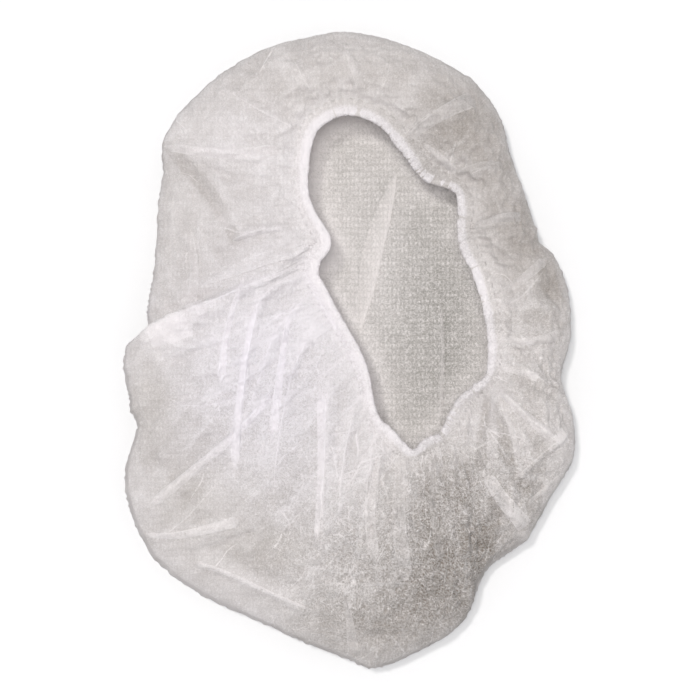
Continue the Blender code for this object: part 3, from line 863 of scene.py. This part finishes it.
def ply_parts(reader, ply, height, lowest, ridge):
    """Rows of points and tones of one ply on the cloth between two heights. A ridge is narrow and tapers."""
    route, way = smooth_route(ply["path"])
    widest = max(ply["start"], ply["end"]) + ply.get("belly", 0)
    between = np.linspace(-0.92, 0.92, max(3, math.ceil(widest / 0.45))).tolist()
    across = (-1, 0, 1) if ridge else (-1, *between, 1)
    rows = []
    for i, (place, along) in enumerate(zip(route, way)):
        share = i / (len(route) - 1)
        half = ply["start"] + (ply["end"] - ply["start"]) * share
        half = (half + ply.get("belly", 0) * math.sin(math.pi * share)) * MILLIMETRE
        if ridge:
            half *= math.sin(math.pi * min(max(share, 0.02), 0.98)) ** 0.6
        else:
            half *= min(1.0, 0.25 + share * 12, 0.25 + (1 - share) * 12)
        row = []
        for step in across:
            x = place[0] - along[1] * half * step
            y = place[1] + along[0] * half * step
            found = reader.below(x, y, height)
            if found is None or found[0] < lowest:
                row = None
                break
            z, tones = found
            edge = abs(step) == 1
            rise = -0.00006 if edge else PLY_RISE * (1 + ply["lean"] * step)
            lower_side = (1 - step * float(np.sign(ply["lean"]))) / 2
            fade = 1 - min(max(2 * abs(ply["lean"]) - 1, 0), 1) * lower_side
            # Painted highlight: whiter still along the ply's edges
            white = (ply["white"] + 0.20 * (abs(step) > 0.9)) * fade
            if not ridge:
                white *= smooth(share / 0.10) * smooth((1 - share) / 0.10)
            row.append(((x, y, z + rise), (tones[0], *tones[1:], white)))
        if row is None:
            if len(rows) > 3:
                break
            rows = []
            continue
        rows.append(row)
    return rows


def ply_tones(rows, own):
    """The tones of a ply's rows. own is how far it keeps one even tone instead of the tones under it."""
    mean = np.mean([tones[0] for row in rows for _, tones in row])
    return [
        (layers + (mean - layers) * own + white, warmth, glitter * (1 - 0.6 * own), bare)
        for row in rows for _, (layers, warmth, glitter, bare, white) in row
    ]


def random_hairs():
    """A table of fine crumpled ridges at random places, most of them at the foot of the cap."""
    hairs = []
    for i in range(HAIR_COUNT):
        x, y = random.uniform((-108, -152), (108, 152))
        if i % 6:
            x, y = random.normal((32, -78), (30, 34))
        turn = outward(x, y) + random.normal(0, 0.7)
        length = random.uniform(6, 26)
        middle = np.array((x, y))
        bends = [middle + np.array((math.cos(turn), math.sin(turn))) * length * t + random.normal(0, 0.9, 2)
                 for t in (-0.5, -0.2, 0.15, 0.5)]
        width = random.uniform(0.22, 0.5)
        hairs.append((bends, width, width, 0.0, random.uniform(0.10, 0.50)))
    return hairs


def folded_plies(cloth):
    """The plies and sharp ridges of folded cloth, which lie on the sheet."""
    reader = ClothReader(cloth)
    above = crown_high.z + 0.05
    hairs = random_hairs()
    lines = [(crease["path"], LINE_HALF_WIDTH, LINE_HALF_WIDTH, 0.0, 0.10 + 0.25 * crease["white"])
             for crease in rows_of(CREASE_COLUMNS, CREASES) if crease["rise"] > 0]
    vertices, faces, tones = [], [], []
    for table, height, lowest, ridge in (
        (PLIES, above, UNDER_THE_TOP, False),
        (FLOOR_PLIES, UNDER_THE_TOP, 0.0, False),
        (lines, above, UNDER_THE_TOP, True),
        (hairs, above, UNDER_THE_TOP, True),
    ):
        for ply in rows_of(PLY_COLUMNS, table):
            rows = ply_parts(reader, ply, height, lowest, ridge)
            if len(rows) < 3:
                continue
            across = len(rows[0])
            first = len(vertices)
            vertices += [place for row in rows for place, _ in row]
            tones += ply_tones(rows, 0.0 if ridge else 0.6)
            for i in range(len(rows) - 1):
                for j in range(across - 1):
                    corner = first + i * across + j
                    faces.append((corner, corner + across, corner + across + 1, corner + 1))
    piece = new_piece("folded_plies", vertices, faces)
    plan = np.array(vertices)[:, :2]
    add_readings(piece, plan, plan, wall=0.0, **dict(zip(CLOTH_TONES, np.array(tones).T)))
    return piece


class Nodes:
    """A material's nodes, made with short calls."""

    def __init__(self, name):
        self.material = bpy.data.materials.new(name)
        self.material.use_nodes = True
        self.tree = self.material.node_tree
        self.surface = self.tree.nodes["Principled BSDF"]

    def feed(self, socket, value):
        if isinstance(value, bpy.types.NodeSocket):
            self.tree.links.new(value, socket)
        else:
            socket.default_value = value

    def add(self, kind, output=0, settings=None, **inputs):
        node = self.tree.nodes.new(kind)
        for name, value in (settings or {}).items():
            setattr(node, name, value)
        for name, value in inputs.items():
            key = int(name[1:]) if name[0] == "_" and name[1:].isdigit() else name.replace("_", " ")
            self.feed(node.inputs[key], value)
        return node.outputs[output]

    def math(self, operation, a, b=0.0, c=0.5):
        return self.add("ShaderNodeMath", settings={"operation": operation}, _0=a, _1=b, _2=c)

    def wander(self, place, scale, detail, reach):
        """A place moved about by up to a reach, in features of a scale."""
        drift = self.add("ShaderNodeTexNoise", output=1, Vector=place, Scale=scale, Detail=detail)
        away = self.add("ShaderNodeVectorMath", settings={"operation": "SCALE"}, _0=drift, Scale=reach)
        return self.add("ShaderNodeVectorMath", settings={"operation": "ADD"}, _0=place, _1=away)

    def scaled(self, vector, scale, turn=0.0):
        return self.add("ShaderNodeMapping", Vector=vector, Scale=scale, Rotation=(0, 0, turn))

    def noise(self, vector, scale, detail=2.0, rough=0.5):
        return self.add("ShaderNodeTexNoise", Vector=vector, Scale=scale, Detail=detail, Roughness=rough)

    def number(self, name):
        return self.add("ShaderNodeAttribute", output=2, settings={"attribute_name": name})

    def place(self, name):
        return self.add("ShaderNodeAttribute", output=1, settings={"attribute_name": name})

    def blend(self, share, a, b):
        return self.add("ShaderNodeMix", output=2, settings={"data_type": "RGBA"}, _0=share, _6=a, _7=b)

    def let_light_through(self, share, tint):
        """Mixes a share of light that passes through thin cloth with the surface."""
        through = self.add("ShaderNodeBsdfTranslucent", Color=tint)
        mixed = self.add("ShaderNodeMixShader", _0=share, _1=self.surface.outputs[0], _2=through)
        self.feed(self.tree.nodes["Material Output"].inputs["Surface"], mixed)

    def ranged(self, value, low, high, new_low, new_high):
        return self.add("ShaderNodeMapRange", _0=value, _1=low, _2=high, _3=new_low, _4=new_high)


def bond_grid(nodes, place):
    """Rows of small pressed bonds, 2.1 mm apart across and 3.2 mm along."""
    waver = nodes.noise(place, 240.0, 2.0, 0.7)
    shifted = nodes.wander(place, 120.0, 1.0, 0.0016)
    parts = nodes.tree.nodes.new("ShaderNodeSeparateXYZ")
    nodes.feed(parts.inputs[0], shifted)
    rows = []
    for axis, pitch in ((0, 0.0021), (1, 0.0032)):
        wave = nodes.math("COSINE", nodes.math("MULTIPLY", parts.outputs[axis], TURN / pitch))
        rows.append(nodes.math("MULTIPLY_ADD", wave, 0.5, 0.5))
    bonds = nodes.math("MULTIPLY", rows[0], rows[1])
    return nodes.math("MULTIPLY", bonds, nodes.ranged(waver, 0.32, 0.68, 0.1, 1.6))


def fibres(nodes, place, scale, turn):
    """Thin wandering bright lines, drawn out one way."""
    stretched = nodes.scaled(place, (scale, scale * 0.22, scale), turn)
    value = nodes.noise(stretched, 1.0, 3.0, 0.6)
    off = nodes.math("ABSOLUTE", nodes.math("SUBTRACT", value, 0.5))
    return nodes.ranged(off, 0.0, 0.045, 1.0, 0.0)


def worms(nodes, place):
    """Sharp crumpled ridges that wander, 1 to 3 mm apart."""
    moved = nodes.wander(place, 200.0, 2.0, 0.005)
    total = None
    for scale, width, share in ((400.0, 0.12, 0.7), (740.0, 0.17, 1.0)):
        off = nodes.math("ABSOLUTE", nodes.math("SUBTRACT", nodes.noise(moved, scale, 0.0, 0.5), 0.5))
        line = nodes.math("MULTIPLY", nodes.ranged(off, 0.0, width, 1.0, 0.0), share)
        total = line if total is None else nodes.math("MAXIMUM", total, line)
    return total


def nonwoven_material(name, through):
    """Thin spunbonded cloth: whiter where it lies double, with bonds, fibres, a silky sheen, and painted
    glints and painted crinkle shading in its colour.
    """
    nodes = Nodes(name)
    lay, side = nodes.place("lay"), nodes.place("side")
    place = nodes.add("ShaderNodeMix", output=1, settings={"data_type": "VECTOR"}, _0=nodes.number("wall"),
                      _4=lay, _5=side)
    glitter = nodes.number("glitter")
    bonds = bond_grid(nodes, place)
    threads = nodes.math("MAXIMUM", fibres(nodes, place, 1100.0, 0.5), fibres(nodes, place, 900.0, -0.8))
    threads = nodes.math("MAXIMUM", threads, fibres(nodes, place, 1500.0, 1.7))
    crinkle = worms(nodes, place)
    painted_crinkle_shading = nodes.math("MULTIPLY", crinkle, crinkle)
    formation = nodes.noise(place, 95.0, 5.0, 0.62)
    speckle = nodes.noise(place, 1300.0, 2.0, 0.7)
    painted_sparkle = nodes.math("MULTIPLY", nodes.ranged(speckle, 0.55, 0.72, 0.0, 1.0), glitter)
    spots = nodes.ranged(speckle, 0.3, 0.7, -1, 1)
    layers = nodes.number("layers")
    bare = nodes.number("bare")
    # Into the whiteness go real tone, bonds and fibres, and painted glints and painted light and shade on the
    # crinkles
    for part in (
        nodes.ranged(formation, 0.3, 0.7, -0.09, 0.09),
        nodes.math("MULTIPLY", nodes.math("SUBTRACT", bonds, 0.25), nodes.ranged(bare, 0, 1, 0.16, 0.46)),
        nodes.math("MULTIPLY", threads, 0.16),
        nodes.math("MULTIPLY", nodes.math("SUBTRACT", painted_crinkle_shading, 0.26), nodes.ranged(glitter, 0.3, 1.1, 0.1, 1)),
        nodes.math("MULTIPLY", painted_sparkle, 0.8),
        nodes.math("MULTIPLY", spots, nodes.ranged(glitter, 0.3, 1.1, 0.17, 0.34)),
    ):
        layers = nodes.math("ADD", layers, part)
    warmth = nodes.number("warmth")
    white = nodes.blend(nodes.ranged(warmth, -0.5, 0.4, 0.0, 1.0), COOL_WHITE, NEUTRAL_WHITE)
    grey = nodes.blend(bare, WARM_GREY, FLOOR_GREY)
    tint = nodes.blend(nodes.ranged(layers, -0.85, 1.15, 0.0, 1.0), grey, white)
    nodes.feed(nodes.surface.inputs["Base Color"], tint)
    rough = nodes.ranged(nodes.math("ADD", threads, crinkle), 0.2, 1.6, 0.60, 0.34)
    nodes.feed(nodes.surface.inputs["Roughness"], rough)
    nodes.surface.inputs["Sheen Weight"].default_value = 0.25
    nodes.surface.inputs["Sheen Roughness"].default_value = 0.45
    relief = nodes.math("ADD", nodes.math("MULTIPLY", threads, 0.30), nodes.math("MULTIPLY", bonds, -0.45))
    crumple = nodes.math("MULTIPLY", crinkle, nodes.ranged(glitter, 0.3, 1.0, 0.15, 1.3))
    relief = nodes.math("ADD", relief, crumple)
    relief = nodes.math("ADD", relief, nodes.math("MULTIPLY", nodes.noise(place, 420.0, 4.0, 0.65), 0.8))
    bump = nodes.add("ShaderNodeBump", Strength=0.7, Distance=0.0008, Height=relief)
    nodes.feed(nodes.surface.inputs["Normal"], bump)
    nodes.let_light_through(through, tint)
    return nodes.material


def elastic_material():
    """Matt white elastic with a fine grain."""
    nodes = Nodes("ribbed_elastic")
    place = nodes.add("ShaderNodeTexCoord", output=3)
    grain = nodes.noise(place, 1500.0, 2.0, 0.5)
    tint = nodes.blend(grain, ELASTIC_SHADE, ELASTIC_WHITE)
    nodes.feed(nodes.surface.inputs["Base Color"], tint)
    nodes.surface.inputs["Roughness"].default_value = 0.6
    return nodes.material


def floor_material():
    """Plain pale floor."""
    nodes = Nodes("pale_floor")
    nodes.surface.inputs["Base Color"].default_value = FLOOR_COLOUR
    nodes.surface.inputs["Roughness"].default_value = 0.9
    nodes.surface.inputs["Specular IOR Level"].default_value = 0.1
    return nodes.material


def add_stage():
    """The floor, the soft light and the camera straight above."""
    bpy.ops.mesh.primitive_plane_add(size=6.0)
    ground = bpy.context.object
    ground.name = "floor"
    ground.data.materials.append(floor_material())
    scene = bpy.context.scene
    world = bpy.data.worlds.new("studio")
    world.use_nodes = True
    world.node_tree.nodes["Background"].inputs["Color"].default_value = SKY_COLOUR
    world.node_tree.nodes["Background"].inputs["Strength"].default_value = SKY_STRENGTH
    scene.world = world
    for row in rows_of(LAMP_COLUMNS, LAMPS):
        lamp = bpy.data.lights.new(row["name"], "SUN")
        lamp.energy = row["strength"]
        lamp.angle = math.radians(row["softness"])
        lamp.color = LAMP_COLOUR
        holder = bpy.data.objects.new(row["name"], lamp)
        tilt, turn = math.radians(row["tilt"]), math.radians(row["turn"])
        way = Vector((math.sin(tilt) * math.cos(turn), math.sin(tilt) * math.sin(turn), math.cos(tilt)))
        holder.rotation_mode = "QUATERNION"
        holder.rotation_quaternion = way.to_track_quat("Z", "Y")
        holder.location = way
        scene.collection.objects.link(holder)
    camera = bpy.data.cameras.new("camera")
    camera.sensor_width = 36.0
    camera.lens = camera.sensor_width * (CAMERA_HEIGHT - edge_height) / FIELD
    camera.clip_start = 0.1
    camera.clip_end = 10.0
    eye = bpy.data.objects.new("camera", camera)
    eye.location = (0.0, 0.0, CAMERA_HEIGHT)
    scene.collection.objects.link(eye)
    scene.camera = eye
    scene.view_settings.view_transform = "Standard"
    return ground


ground = add_stage()
cloth, beside_hem = crown_cloth()
cloth.data.materials.append(nonwoven_material("spunbonded_nonwoven", 0.40))
hem = gathered_hem(beside_hem)
hem.data.materials.append(nonwoven_material("gathered_nonwoven", 0.38))
plies = folded_plies(cloth)
plies.data.materials.append(cloth.data.materials[0])
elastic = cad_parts["elastic"]
elastic.data.materials.clear()
elastic.data.materials.append(elastic_material())

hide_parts("crown")
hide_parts("hem")
for piece in (cloth, hem, plies):
    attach(piece, "root")
